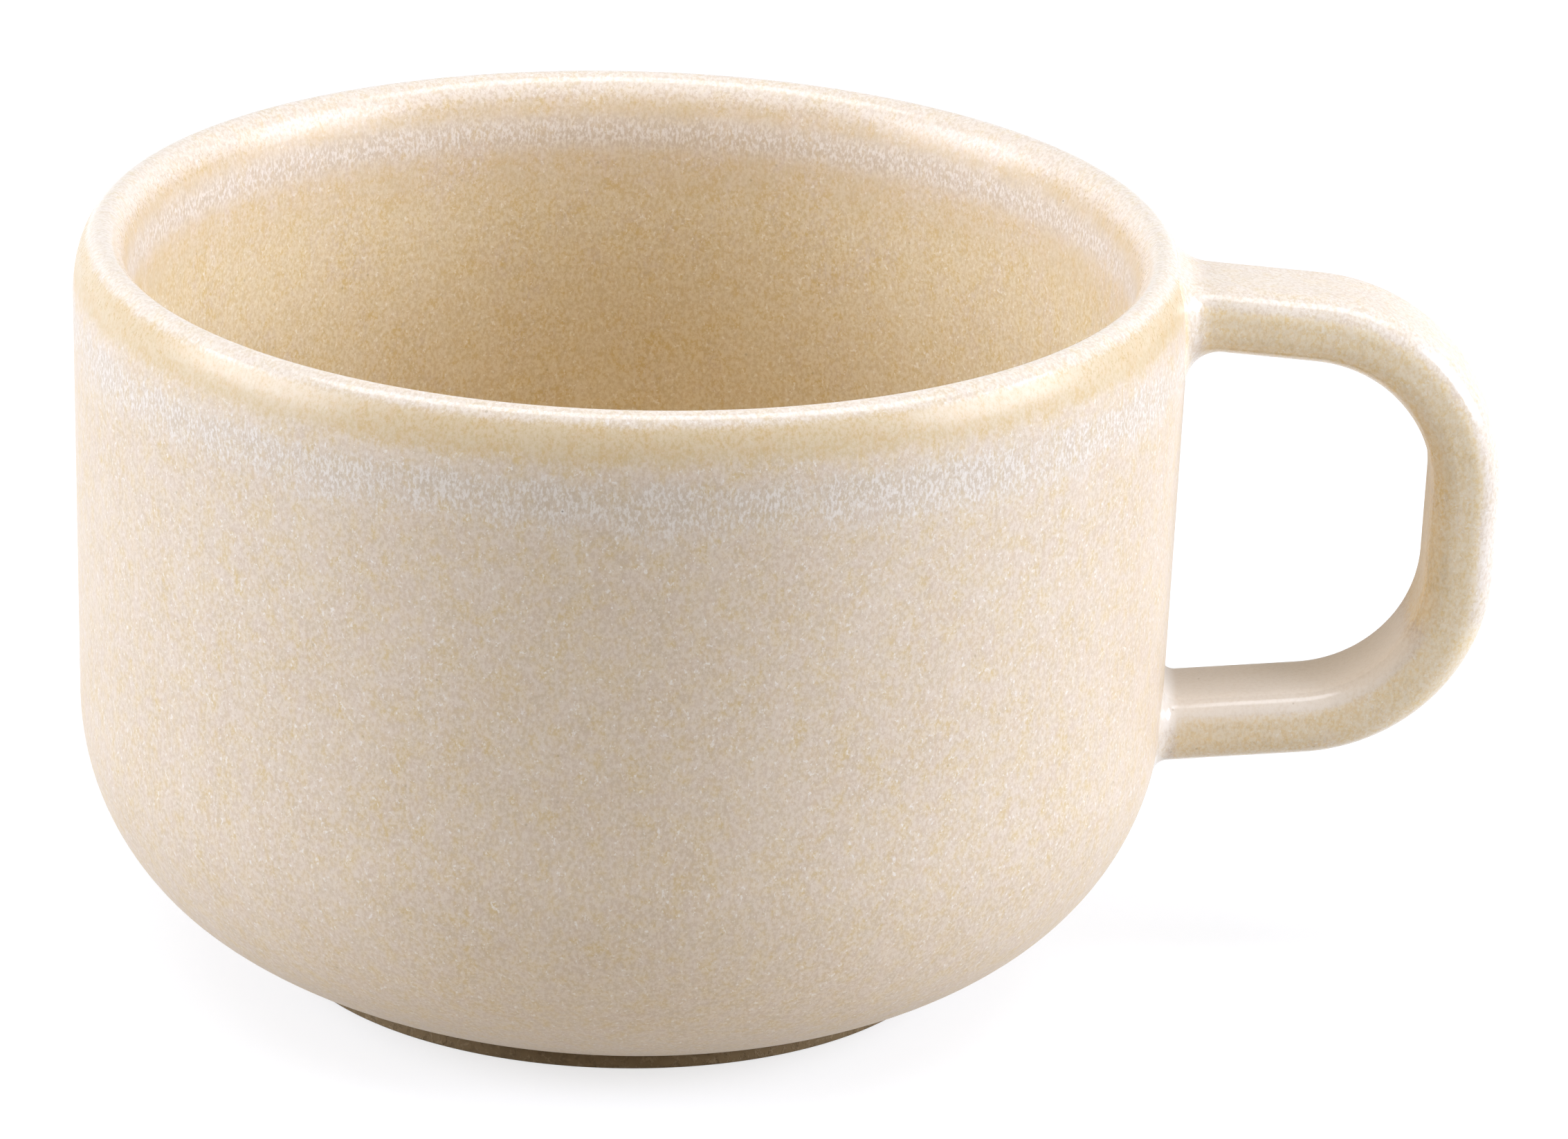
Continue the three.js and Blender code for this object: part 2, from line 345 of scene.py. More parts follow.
def glaze_masks(tree, place):
    """All flecks are drawn out a little downwards, and those of the running glaze more."""
    flow = stretched(tree, place, BODY_STRETCH)
    run = stretched(tree, place, RUN_STRETCH)
    return {
        "pale": flecks(tree, flow, size=0.3, cover=0.5, softness=0.14),
        "crystal": flecks(tree, moved(tree, flow, (0.31, 0.17, 0.29)), size=0.36, cover=0.36, softness=0.05),
        "ochre": flecks(tree, moved(tree, flow, (0.11, 0.37, 0.19)), size=1.1, cover=0.48, softness=0.14),
        "rose": flecks(tree, moved(tree, flow, (0.23, 0.05, 0.41)), size=1.5, cover=0.48, softness=0.14),
        "frost": flecks(tree, moved(tree, run, (0.13, 0.22, 0.31)), size=0.24, cover=0.48, softness=0.1),
        "fray": flecks(tree, moved(tree, run, (0.37, 0.14, 0.03)), size=1.8, cover=0.5, softness=0.3),
        "cloud": flecks(tree, moved(tree, flow, (0.07, 0.28, 0.16)), size=5.0, cover=0.5, softness=0.24),
    }


def fraying(tree, masks):
    """Three noises that together push the borders of the glaze's changes to and fro."""
    fray, frost, cloud = [swing(tree, masks[name], reach) for name, reach in FRAY_REACH.items()]
    return calculate(tree, "ADD", calculate(tree, "ADD", fray, frost), cloud)


def layered(tree, masks, colours):
    """Soft ochre and rose patches on tan, then fine pale grain, then a few crystals."""
    colour = colours["tan"]
    for layer, share in LAYER_SHARES.items():
        colour = mix_colour(tree, part_of(tree, masks[layer], share), colour, colours[layer])
    return colour


print("layers over the ground:", list(LAYER_SHARES))

# %% Colour of the glaze
CLOUD_SHARE = 0.2
FROST_SHARE = 0.7
THIN_FRAY = 0.6
AMBER_SHARE = 0.82
AMBER_PATCHES = 0.8
AMBER_GRAIN = 0.25
WHITE_FRAY = 0.2
RING_SHARE = 0.6
HOLE_SHARE = 0.7
SPECK_SHARE = 0.35


def glaze_colour(tree, masks, push, pooled, golden_and_painted_light_colours):
    """The cream body, golden in places as painted light, then frost over it, then thin amber, then smooth
    white.
    """
    golden = pushed(tree, "golden_glaze", push, low=0.0, high=1.0)
    colour = mix_colour(tree, golden, layered(tree, masks, BODY), layered(tree, masks, golden_and_painted_light_colours))
    veil = mix_colour(tree, golden, BODY["pale"], golden_and_painted_light_colours["pale"])
    colour = mix_colour(tree, part_of(tree, masks["cloud"], CLOUD_SHARE), colour, veil)
    frost = mix_colour(tree, masks["frost"], FROST_GREY, FROST_WHITE)
    colour = mix_colour(tree, part_of(tree, pooled, FROST_SHARE), colour, frost)
    # On the strap the thin number also carries painted shade on the faces that look down.
    thin = pushed(tree, "thin_glaze", part_of(tree, push, THIN_FRAY), low=0.0, high=0.9)
    amber = mix_colour(tree, part_of(tree, masks["ochre"], AMBER_PATCHES), AMBER, AMBER_DEEP)
    amber = mix_colour(tree, part_of(tree, masks["pale"], AMBER_GRAIN), amber, BODY["pale"])
    colour = mix_colour(tree, part_of(tree, thin, AMBER_SHARE), colour, amber)
    # On the strap the smooth white also carries painted light: the whole strap paler for its fill light, and
    # more so where it looks up and under the upper bar.
    white = pushed(tree, "white_glaze", swing(tree, masks["pale"], WHITE_FRAY), low=0.0, high=1.0)
    return mix_colour(tree, white, colour, SMOOTH_WHITE)


def speckled(tree, place, pooled, colour):
    """Adds pinholes with pale rings where glaze has pooled, and olive specks. Gives the pinholes too."""
    holes = spots(tree, place, spacing=1.7, radius=0.1, share=0.2)
    hole, ring = [calculate(tree, "MULTIPLY", holes[name], pooled) for name in ("Spot", "Ring")]
    speck = spots(tree, moved(tree, place, (0.04, 0.02, 0.09)), spacing=1.9, radius=0.13, share=0.3)["Spot"]
    marks = ((ring, RING_SHARE, FROST_WHITE), (hole, HOLE_SHARE, PINHOLE), (speck, SPECK_SHARE, OLIVE_SPECK))
    for mask, share, tone in marks:
        colour = mix_colour(tree, part_of(tree, mask, share), colour, tone)
    return colour, hole


print("share of amber where the glaze is thin:", AMBER_SHARE)

# %% Glaze material
SATIN = (0.44, 0.52)
GLOSSY = 0.2
SPECULAR = 0.34
COAT_START = (0.75, 1.0)
COAT_SHARE = 0.6
COAT_ROUGHNESS = 0.13
GLOSSY_RELIEF = 0.15
GRAIN_RELIEF = 0.004 * MM
WAVE_RELIEF = 0.008 * MM
PINHOLE_DEPTH = 8.0


def glaze_relief(tree, masks, hole, gloss):
    """Fine grain over a slow wave, both calmer where the glaze is glossy, and pinholes cut into both."""
    calm = mix_value(tree, gloss, 1.0, GLOSSY_RELIEF)
    slow = {"Height": part_of(tree, masks["rose"], calm), "Distance": WAVE_RELIEF}
    wave = add_node(tree, "ShaderNodeBump", slow).outputs["Normal"]
    height = calculate(tree, "MULTIPLY_ADD", hole, -PINHOLE_DEPTH, part_of(tree, masks["pale"], calm))
    fine = {"Height": height, "Distance": GRAIN_RELIEF, "Normal": wave}
    return add_node(tree, "ShaderNodeBump", fine).outputs["Normal"]


def build_glaze(name, golden_and_painted_light_colours):
    """The glaze, with the colours that it turns to where its golden number is high: painted bounce light
    inside the bowl, and a honey colour painted lighter for fill light on the strap.
    """
    material, tree, shader, place = new_material(name)
    masks = glaze_masks(tree, place)
    push = fraying(tree, masks)
    pooled = pushed(tree, "pooled_glaze", push, low=0.1, high=1.1)
    colour = glaze_colour(tree, masks, push, pooled, golden_and_painted_light_colours)
    colour, hole = speckled(tree, place, pooled, colour)
    gloss = form_number(tree, "glossy_glaze")
    looks = {
        "Base Color": colour,
        "Specular IOR Level": SPECULAR,
        "Roughness": mix_value(tree, gloss, mix_value(tree, masks["pale"], *SATIN), GLOSSY),
        "Coat Weight": part_of(tree, soft_step(tree, gloss, *COAT_START), COAT_SHARE),
        "Coat Roughness": COAT_ROUGHNESS,
        "Normal": glaze_relief(tree, masks, hole, gloss),
    }
    feed_all(tree, shader, looks)
    return material


# Inside the bowl the golden colours are painted bounce light; on the strap the honey colours are painted
# lighter for fill light.
bowl_glaze_painted_bounce = build_glaze("cream_glaze_painted_bounce", INSIDE_PAINTED_BOUNCE)
strap_glaze_painted_fill = build_glaze("honey_glaze_painted_fill", HONEY_PAINTED_FILL)
for glaze in (bowl_glaze_painted_bounce, strap_glaze_painted_fill):
    print("material:", glaze.name, "with", len(glaze.node_tree.nodes), "nodes")

# %% [markdown]
# ## The bare clay of the foot
# A glazed pot that stands on its foot would stick to the kiln shelf, so the foot is wiped clean and stays
# bare: a dark brown body with grog in it, dry to the touch. It uses the same flecks at its own sizes.

# %% Bare clay
CLAY_BROWN = from_screen(138, 115, 80)
CLAY_LIGHT = from_screen(164, 141, 104)
CLAY_DARK = from_screen(106, 86, 57)
CLAY_SHARE = 0.5
CLAY_ROUGHNESS = (0.85, 0.72)
CLAY_RELIEF = 0.04 * MM


def build_clay():
    material, tree, shader, place = new_material("bare_foot_clay")
    grog = flecks(tree, place, size=0.5, cover=0.42, softness=0.08)
    pores = flecks(tree, moved(tree, place, (2.2, 4.8, 0.6)), size=0.7, cover=0.4, softness=0.08)
    warm = flecks(tree, moved(tree, place, (5.2, 1.8, 3.6)), size=4.0, cover=0.5, softness=0.3)
    colour = CLAY_BROWN
    for mask, tone in ((warm, CLAY_DARK), (grog, CLAY_LIGHT), (pores, CLAY_DARK)):
        colour = mix_colour(tree, part_of(tree, mask, CLAY_SHARE), colour, tone)
    relief = {"Height": calculate(tree, "SUBTRACT", grog, pores), "Distance": CLAY_RELIEF}
    looks = {
        "Base Color": colour,
        "Roughness": mix_value(tree, grog, *CLAY_ROUGHNESS),
        "Normal": add_node(tree, "ShaderNodeBump", relief).outputs["Normal"],
    }
    feed_all(tree, shader, looks)
    return material


clay = build_clay()
print("material:", clay.name, "with", len(clay.node_tree.nodes), "nodes")

# %% [markdown]
# ## The sizes
# These are the same sizes, in millimetres, that the CAD solids were drawn from, so each finer piece lies on
# its solid. The bowl's own axis isn't at the origin, because the origin is under the middle of the whole
# cup with its handle. Its place is read from the bowl's box.

# %% Sizes of the cup
RIM_RADIUS = 45.0
CUP_HEIGHT = 61.3
WALL_THICKNESS = 4.5
LIP_DEPTH = 5.3
WALL_SLOPE = math.tan(math.radians(1.1))
SHOULDER_HEIGHT = 22.9
FLOOR_RADIUS = 13.0
BOWL_SQUARENESS = 2.18
FOOT_RADIUS = 28.0
FOOT_HEIGHT = 1.2
FOOT_WIDTH = 4.5
FOOT_EDGE_ROUND = 0.4
GLAZE_OVERHANG = 0.4
RECESS_HEIGHT = 2.4
RECESS_BEVEL = 2.0
FLOOR_HEIGHT = 6.6
LIP_BASE = CUP_HEIGHT - LIP_DEPTH
LIP_MIDDLE = RIM_RADIUS - WALL_THICKNESS / 2
FOOT_INNER = FOOT_RADIUS - FOOT_WIDTH

bowl_low, bowl_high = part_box("bowl")
AXIS_X = (bowl_low.x + bowl_high.x) / 2 / MM
print("bowl axis at x =", round(AXIS_X, 3), "mm")

# %% [markdown]
# ## The bowl's outline
# The bowl was formed by turning, so half of its cross-section says everything about it: radius and height,
# from the middle of the underside, out and up the wall, over the lip, and down inside to the floor.
# The lip is half an ellipse. The round of the bowl is a superellipse, a little squarer than an ellipse.

# %% Outline of the bowl
ROUND_STEPS = 56
WALL_STEPS = 48
LIP_STEPS = 72


def wall_radius(height):
    """Outside radius of the straight wall."""
    return RIM_RADIUS - (LIP_BASE - height) * WALL_SLOPE


def bowl_round(side, floor, end_radius):
    """A quarter superellipse from its upright side towards its floor, as far in as end_radius."""
    width = side[0] - floor[0]
    depth = side[1] - floor[1]
    power = 2 / BOWL_SQUARENESS
    end_angle = math.acos(((end_radius - floor[0]) / width) ** (1 / power))
    angles = np.linspace(0, end_angle, ROUND_STEPS + 1)
    radius = floor[0] + width * np.clip(np.cos(angles), 0, 1) ** power
    return np.stack([radius, side[1] - depth * np.sin(angles) ** power], axis=1)


def outside_round():
    """The outside comes down to the foot's height just past the foot ring."""
    side = (wall_radius(SHOULDER_HEIGHT), SHOULDER_HEIGHT)
    edge = FOOT_RADIUS + GLAZE_OVERHANG
    share = ((edge - FLOOR_RADIUS) / (side[0] - FLOOR_RADIUS)) ** BOWL_SQUARENESS
    depth = (SHOULDER_HEIGHT - FOOT_HEIGHT) / (1 - share) ** (1 / BOWL_SQUARENESS)
    return bowl_round(side, (FLOOR_RADIUS, SHOULDER_HEIGHT - depth), edge)


def inside_round():
    side = (wall_radius(SHOULDER_HEIGHT) - WALL_THICKNESS, SHOULDER_HEIGHT)
    return bowl_round(side, (FLOOR_RADIUS, FLOOR_HEIGHT), FLOOR_RADIUS)


def straight(start, finish, steps):
    """Points along a line, without its two ends."""
    return np.linspace(start, finish, steps + 1)[1:-1]


def lip_outline():
    angles = np.linspace(0, math.pi, LIP_STEPS + 1)
    radius = LIP_MIDDLE + WALL_THICKNESS / 2 * np.cos(angles)
    return np.stack([radius, LIP_BASE + LIP_DEPTH * np.sin(angles)], axis=1)


outer_round = outside_round()
inner_round = inside_round()
lip = lip_outline()
outer_wall = straight(outer_round[0], lip[0], WALL_STEPS)
inner_wall = straight(lip[-1], inner_round[0], WALL_STEPS)
outside_line = np.concatenate([outer_round[::-1], outer_wall, lip[: LIP_STEPS // 2 + 1]])
inside_line = np.concatenate([lip[LIP_STEPS // 2 :], inner_wall, inner_round])
print("outline points outside and inside:", len(outside_line), len(inside_line))

# %% [markdown]
# ## Turning an outline
# A lathe could be written as a loop, or be Blender's Screw modifier. Geometry Nodes do it with a flat grid:
# one side of the grid counts round the axis and the other counts along the outline, and every grid point
# moves to where its two counts say. Merging what then falls together closes the seam and the poles.

# %% Tree that turns an outline
MERGE_DISTANCE = 1e-6


def end_tree(tree, geometry, finish, target):
    """Every tree ends in smooth faces, realized instances and the finish."""
    smooth = add_node(tree, "GeometryNodeSetShadeSmooth", {"Geometry": geometry})
    real = add_node(tree, "GeometryNodeRealizeInstances", {"Geometry": smooth.outputs[0]})
    paint = add_node(tree, "GeometryNodeSetMaterial", {"Geometry": real.outputs[0], "Material": finish})
    feed(tree, target, paint.outputs[0])


def build_turning():
    inputs = {"Outline": "Geometry", "Turn Steps": "Int", "Axis": "Vector", "Finish": "Material"}
    tree, entry, result = new_group("turn_outline", "GeometryNodeTree", inputs, {"Turned": "Geometry"})
    given = entry.outputs
    outline = {"Geometry": given["Outline"]}
    size = add_node(tree, "GeometryNodeAttributeDomainSize", outline, component="MESH")
    count = size.outputs["Point Count"]
    around = calculate(tree, "ADD", given["Turn Steps"], 1.0)
    sides = {"Size X": 1.0, "Size Y": 1.0, "Vertices X": around, "Vertices Y": count}
    grid = add_node(tree, "GeometryNodeMeshGrid", sides)

    place = add_node(tree, "GeometryNodeInputPosition").outputs[0]
    split = add_node(tree, "ShaderNodeSeparateXYZ", {0: place}).outputs
    angle = calculate(tree, "MULTIPLY_ADD", split["X"], 2 * math.pi, math.pi)
    last = calculate(tree, "SUBTRACT", count, 1.0)
    row = calculate(tree, "MULTIPLY", calculate(tree, "ADD", split["Y"], 0.5), last)
    picked = {**outline, "Value": place, "Index": calculate(tree, "ROUND", row)}
    sample = add_node(tree, "GeometryNodeSampleIndex", picked, data_type="FLOAT_VECTOR", domain="POINT")
    point = add_node(tree, "ShaderNodeSeparateXYZ", {0: sample.outputs[0]}).outputs

    x = calculate(tree, "MULTIPLY", point["X"], calculate(tree, "COSINE", angle))
    y = calculate(tree, "MULTIPLY", point["X"], calculate(tree, "SINE", angle))
    turned = add_node(tree, "ShaderNodeCombineXYZ", {"X": x, "Y": y, "Z": point["Z"]})
    on_axis = moved(tree, turned.outputs[0], given["Axis"])
    bent = add_node(tree, "GeometryNodeSetPosition", {"Geometry": grid.outputs["Mesh"], "Position": on_axis})
    seam = {"Geometry": bent.outputs[0], "Distance": MERGE_DISTANCE}
    closed = add_node(tree, "GeometryNodeMergeByDistance", seam)
    end_tree(tree, closed.outputs[0], given["Finish"], result.inputs["Turned"])
    return tree


turning = build_turning()
print("tree:", turning.name, "with", len(turning.nodes), "nodes")

# %% [markdown]
# ## From a tree to a plain mesh
# The export wants plain meshes, so the tree's result is taken from the evaluated object, and the helper
# object that carried the modifier goes. The modifier's inputs are set by each socket's identifier before
# anything is evaluated.

# %% Helpers that make pieces
def line_object(name, points):
    """A helper object: points joined in a row, in metres."""
    mesh = bpy.data.meshes.new(name)
    edges = [(i, i + 1) for i in range(len(points) - 1)]
    mesh.from_pydata([tuple(p) for p in points], edges, [])
    helper = bpy.data.objects.new(name, mesh)
    bpy.context.scene.collection.objects.link(helper)
    return helper


def grow(helper, tree, name, **values):
    """Runs a tree on a helper object, and keeps the result as a plain mesh object."""
    modifier = helper.modifiers.new(tree.name, "NODES")
    modifier.node_group = tree
    for item in tree.interface.items_tree:
        if item.in_out == "INPUT" and item.name in values:
            modifier[item.identifier] = values[item.name]
    helper.update_tag()
    graph = bpy.context.evaluated_depsgraph_get()
    mesh = bpy.data.meshes.new_from_object(helper.evaluated_get(graph), depsgraph=graph)
    helper.modifiers.remove(modifier)
    bpy.data.objects.remove(helper)
    mesh.name = name
    return show(name, mesh)


def show(name, mesh):
    piece = bpy.data.objects.new(name, mesh)
    bpy.context.scene.collection.objects.link(piece)
    return piece


def settle(piece, node):
    """The piece rides on the cup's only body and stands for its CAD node."""
    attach(piece, "root")
    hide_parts(node)
    size = [round(v / MM, 2) for v in piece.dimensions]
    print(piece.name, "stands for", node, "with", len(piece.data.polygons), "faces, size in mm", size)


def in_millimetres(mesh):
    """The mesh's points, in millimetres from the bowl's axis."""
    flat = np.empty(len(mesh.vertices) * 3)
    mesh.vertices.foreach_get("co", flat)
    return flat.reshape(-1, 3) / MM - np.array([AXIS_X, 0, 0])


print("piece helpers ready")

# %% [markdown]
# ## Where the handle meets the wall
# The handle is a flat strap with rounded edges. It leaves the wall just under the lip, droops a little,
# bends down into a grip that runs parallel to the wall, and falls a little again on its way back to the wall.
# Its two bars and the sizes of the fillets are needed before any glaze can gather round them.

# %% Strap and bars
STRAP_WIDTH = 9.9
STRAP_THICKNESS = 5.5
STRAP_EDGE_ROUND = 2.2
STRAP_CORE = np.array([STRAP_WIDTH, STRAP_THICKNESS]) / 2 - STRAP_EDGE_ROUND
FINGER_GAP = 20.4
HANDLE_BEND = 13.4
UPPER_BAR_HEIGHT = CUP_HEIGHT - 4.6
UPPER_BAR_ANGLE = math.radians(-4)
UPPER_FILLET = {"top": 4.0, "side": 2.4, "under": 2.8}
LOWER_BAR_HEIGHT = 21.0
LOWER_BAR_ANGLE = math.radians(5.6)
LOWER_FILLET = {"top": 1.0, "side": 1.6, "under": 1.3}
JOINT_LAND = 0.6
SLIP_GAP = 0.3


class Bar:
    """A straight end of the handle: its root on the wall, its direction outwards, and its fillets."""

    def __init__(self, height, angle, fillet):
        self.root = np.array([wall_radius(height), 0, height])
        self.along = np.array([math.cos(angle), 0, math.sin(angle)])
        self.across = np.array([0.0, 1.0, 0.0])
        self.up = np.cross(self.along, self.across)
        self.fillet = fillet

    def at(self, section, travel):
        """Points given across the bar and up through it, each at its own distance along it."""
        level = self.root + np.outer(section[:, 0], self.across) + np.outer(section[:, 1], self.up)
        return level + np.outer(travel, self.along)


upper_bar = Bar(UPPER_BAR_HEIGHT, UPPER_BAR_ANGLE, UPPER_FILLET)
lower_bar = Bar(LOWER_BAR_HEIGHT, LOWER_BAR_ANGLE, LOWER_FILLET)
print("bars meet the wall at heights", upper_bar.root[2], lower_bar.root[2])

# %% [markdown]
# ## Distances that the glaze follows
# Glaze gathers in hollows and thins over edges, and both are a matter of distance: how far a point is from
# the wall, and how far it is from the strap. Two distance functions answer that for any point of any piece,
# so the gathered glaze runs on from the bowl to a joint and from a joint to the strap without a break.

# %% Distance to the wall and to the strap
def nearest_on_line(radius, height, line):
    """For each point, the nearest one on a row of points joined by straight lines."""
    start = line[:-1]
    step = line[1:] - start
    here = np.stack([radius, height], axis=-1)[:, None, :]
    share = np.clip(((here - start) * step).sum(-1) / (step ** 2).sum(-1), 0, 1)
    candidates = start + share[..., None] * step
    gaps = np.linalg.norm(here - candidates, axis=-1)
    best = gaps.argmin(axis=1)
    rows = np.arange(len(best))
    return candidates[rows, best], gaps[rows, best]


def nearest_on_wall(points):
    """For points in millimetres, the nearest ones on the bowl's outside, and the distances."""
    radius = np.hypot(points[:, 0], points[:, 1])
    on_line, gap = nearest_on_line(radius, points[:, 2], outside_line)
    scale = on_line[:, 0] / radius
    return np.stack([points[:, 0] * scale, points[:, 1] * scale, on_line[:, 1]], axis=1), gap


def distance_to_bar(points, bar):
    """Distance from a straight strap that runs on for ever, less than zero inside it."""
    offset = points - bar.root
    x = np.abs(offset @ bar.across) - STRAP_CORE[0]
    y = np.abs(offset @ bar.up) - STRAP_CORE[1]
    outside = np.hypot(np.maximum(x, 0), np.maximum(y, 0))
    return outside + np.minimum(np.maximum(x, y), 0) - STRAP_EDGE_ROUND


print("strap's thickness, from its distance:", -2 * distance_to_bar(upper_bar.root[None], upper_bar)[0])

# %% [markdown]
# ## Thin and pooled glaze, and the painted golden inside
# On the lip the glaze is thin and amber, with a smooth pale crest. Just under the lip, inside and out, the
# glaze that ran off it has stopped in a frosty band. Deeper inside the colour is painted golden, more so
# further down, as the bounce light and shade of the hollow. Round both joints it gathers white. Apart from
# the joints it all goes by height, so each change has two heights in millimetres: where it starts, and where
# it is complete.

# %% Numbers for the glaze
OUTER_CREST = (59.9, 61.0)
INNER_CREST = (58.8, 60.4)
AMBER_EDGE = (56.5, 58.8)
TIDE = ((56.5, 54.5), (48.5, 52.5))  # a band's border at its top, and the one at its foot
OUTER_FROST = ((57.2, 55.2), (50.0, 54.0))
INNER_FROST = ((59.2, 57.6), (53.6, 56.2))
FROST_LINE = (52.9, 0.8)  # the middle and the width of a faint line under the inner band
# Painted bounce light and shade: how golden the inside is painted, rising in two steps with depth.
GOLDEN_PAINTED_DEPTH = (0.85, (57.5, 51.0), (52.0, 38.0))  # the share of the first step, then both steps
GLOSS = (0.7, (57.0, 59.0), (60.2, 60.9))
TIDE_SHARE = 0.4
FROST_OUTSIDE = 0.85
FROST_LINE_SHARE = 0.4
INNER_AMBER = 0.5
CREST_WHITE = 0.42
JOINT_WHITE = 0.6
JOINT_GATHER = 1.3
HANDLE_SIDE = (30, 36)  # millimetres from the bowl's axis


def ramp(value, start, finish):
    """Rises smoothly from 0 at start to 1 at finish, and falls where finish is the smaller."""
    share = np.clip((value - start) / (finish - start), 0, 1)
    return share * share * (3 - 2 * share)


def band(height, top, foot):
    """1 between two soft borders, and 0 above and below them."""
    return ramp(height, *top) * ramp(height, *foot)


def two_steps(height, share, first, second):
    """Rises from 0 to a share of 1, and then the rest of the way."""
    return share * ramp(height, *first) + (1 - share) * ramp(height, *second)


def bell(value, middle, width):
    """Near 1 at the middle and 0 a few widths away."""
    return np.exp(-(((value - middle) / width) ** 2))


def gathered_at_joints(points):
    """Near 1 in the hollows between the strap and the wall, and 0 away from them."""
    to_wall = nearest_on_wall(points)[1]
    to_strap = np.minimum(distance_to_bar(points, upper_bar), distance_to_bar(points, lower_bar))
    reach = np.hypot(to_wall, np.maximum(to_strap, 0))
    return ramp(points[:, 0], *HANDLE_SIDE) * bell(reach, 0, JOINT_GATHER)


def keep_numbers(piece, **numbers):
    """Stores numbers at the piece's points, where its material reads them."""
    for name, values in numbers.items():
        attribute = piece.data.attributes.new(name, "FLOAT", "POINT")
        attribute.data.foreach_set("value", np.clip(values, 0, 1).astype(np.float32))


def glaze_bowl(piece):
    points = in_millimetres(piece.data)
    radius = np.hypot(points[:, 0], points[:, 1])
    height = points[:, 2]
    to_inside = nearest_on_line(radius, height, inside_line)[1]
    is_inside = to_inside < nearest_on_line(radius, height, outside_line)[1]
    gathered = gathered_at_joints(points)
    crest = np.where(is_inside, ramp(height, *INNER_CREST), ramp(height, *OUTER_CREST))
    edge = ramp(height, *AMBER_EDGE) * (1 - crest)
    tide = TIDE_SHARE * band(height, *TIDE)
    outer_frost = FROST_OUTSIDE * band(height, *OUTER_FROST)
    inner_frost = band(height, *INNER_FROST) + FROST_LINE_SHARE * bell(height, *FROST_LINE)
    keep_numbers(
        piece,
        thin_glaze=np.where(is_inside, np.maximum(INNER_AMBER * edge, tide), edge) * (1 - gathered),
        pooled_glaze=np.where(is_inside, inner_frost, outer_frost),
        # Painted bounce light and shade: golden inside, more so with depth.
        golden_glaze=np.where(is_inside, two_steps(height, *GOLDEN_PAINTED_DEPTH), 0),
        white_glaze=np.maximum(JOINT_WHITE * gathered, CREST_WHITE * crest),
        glossy_glaze=two_steps(height, *GLOSS),
    )


print("glaze numbers ready")

# %% [markdown]
# ## The bowl
# The outline starts and ends on the axis, so the turned bowl is one closed skin. The corner where the glaze
# stops above the foot is a small roll, because glaze that runs down a pot ends in a soft fat edge. That edge
# is then lifted a little, more on the left than on the right, so that it isn't a machined line.

# %% Bowl
TURN_STEPS = 288
ROLL_RADIUS = 0.35
ROLL_INSET = 0.75 * ROLL_RADIUS
ROLL_END = -0.35  # radians
ROLL_STEPS = 6
ROLL_GAP = 0.1
GLAZE_LIFT = 0.28
GLAZE_TILT = 0.14
LIFT_REACH = 9.0
CORNER = 0.12


def rolled_edge():
    """A quarter round from the underside of the glaze's edge up to its outside."""
    edge = outer_round[-1]
    angles = np.linspace(-math.pi / 2, ROLL_END, ROLL_STEPS + 1)
    centre = np.array([edge[0] - ROLL_INSET, edge[1] + ROLL_RADIUS])
    return centre + ROLL_RADIUS * np.stack([np.cos(angles), np.sin(angles)], axis=1)


def bowl_outline():
    bevel_top = FOOT_INNER - RECESS_BEVEL
    underside = [
        (0, RECESS_HEIGHT),
        (bevel_top / 2, RECESS_HEIGHT),
        (bevel_top - CORNER, RECESS_HEIGHT),
        (bevel_top + CORNER, RECESS_HEIGHT - CORNER),
        (FOOT_INNER - CORNER, FOOT_HEIGHT + CORNER),
        (FOOT_INNER + CORNER, FOOT_HEIGHT),
    ]
    roll = rolled_edge()
    above_roll = outside_line[outside_line[:, 1] > roll[-1][1] + ROLL_GAP]
    inside = [*inside_line[1:], (FLOOR_RADIUS / 2, FLOOR_HEIGHT), (0, FLOOR_HEIGHT)]
    return np.concatenate([underside, roll, above_roll, inside])


def turn_piece(name, outline, finish):
    points = np.stack([outline[:, 0], np.zeros(len(outline)), outline[:, 1]], axis=1) * MM
    values = {"Turn Steps": TURN_STEPS, "Axis": (AXIS_X * MM, 0, 0), "Finish": finish}
    return grow(line_object(name + "_outline", points), turning, name, **values)


def lift_glaze_line(piece):
    """The glaze stops a little above the foot, higher on the left, as a dipped pot's glaze does."""
    points = in_millimetres(piece.data)
    radius = np.hypot(points[:, 0], points[:, 1])
    lift = GLAZE_LIFT - GLAZE_TILT * points[:, 0] / np.maximum(radius, 1)
    share = ramp(points[:, 2], LIFT_REACH, FOOT_HEIGHT) * ramp(radius, FOOT_INNER, FOOT_RADIUS)
    below = nearest_on_line(radius, points[:, 2], inside_line)[1] > WALL_THICKNESS / 2
    corners = np.empty(len(points) * 3, dtype=np.float32)
    piece.data.vertices.foreach_get("co", corners)
    corners[2::3] += lift * share * below * MM
    piece.data.vertices.foreach_set("co", corners)


bowl = turn_piece("glazed_bowl", bowl_outline(), bowl_glaze_painted_bounce)
lift_glaze_line(bowl)
glaze_bowl(bowl)
settle(bowl, "bowl")

# %% [markdown]
# ## The foot ring
# The bare foot is turned by the same tree from a closed outline: a low ring with worn, softly rounded
# edges at the bottom. Its top reaches up behind the lifted edge of the glaze, so that no gap shows.

# %% Foot ring
FOOT_EDGE_STEPS = 5
FOOT_OVERLAP = 1.5 * GLAZE_LIFT


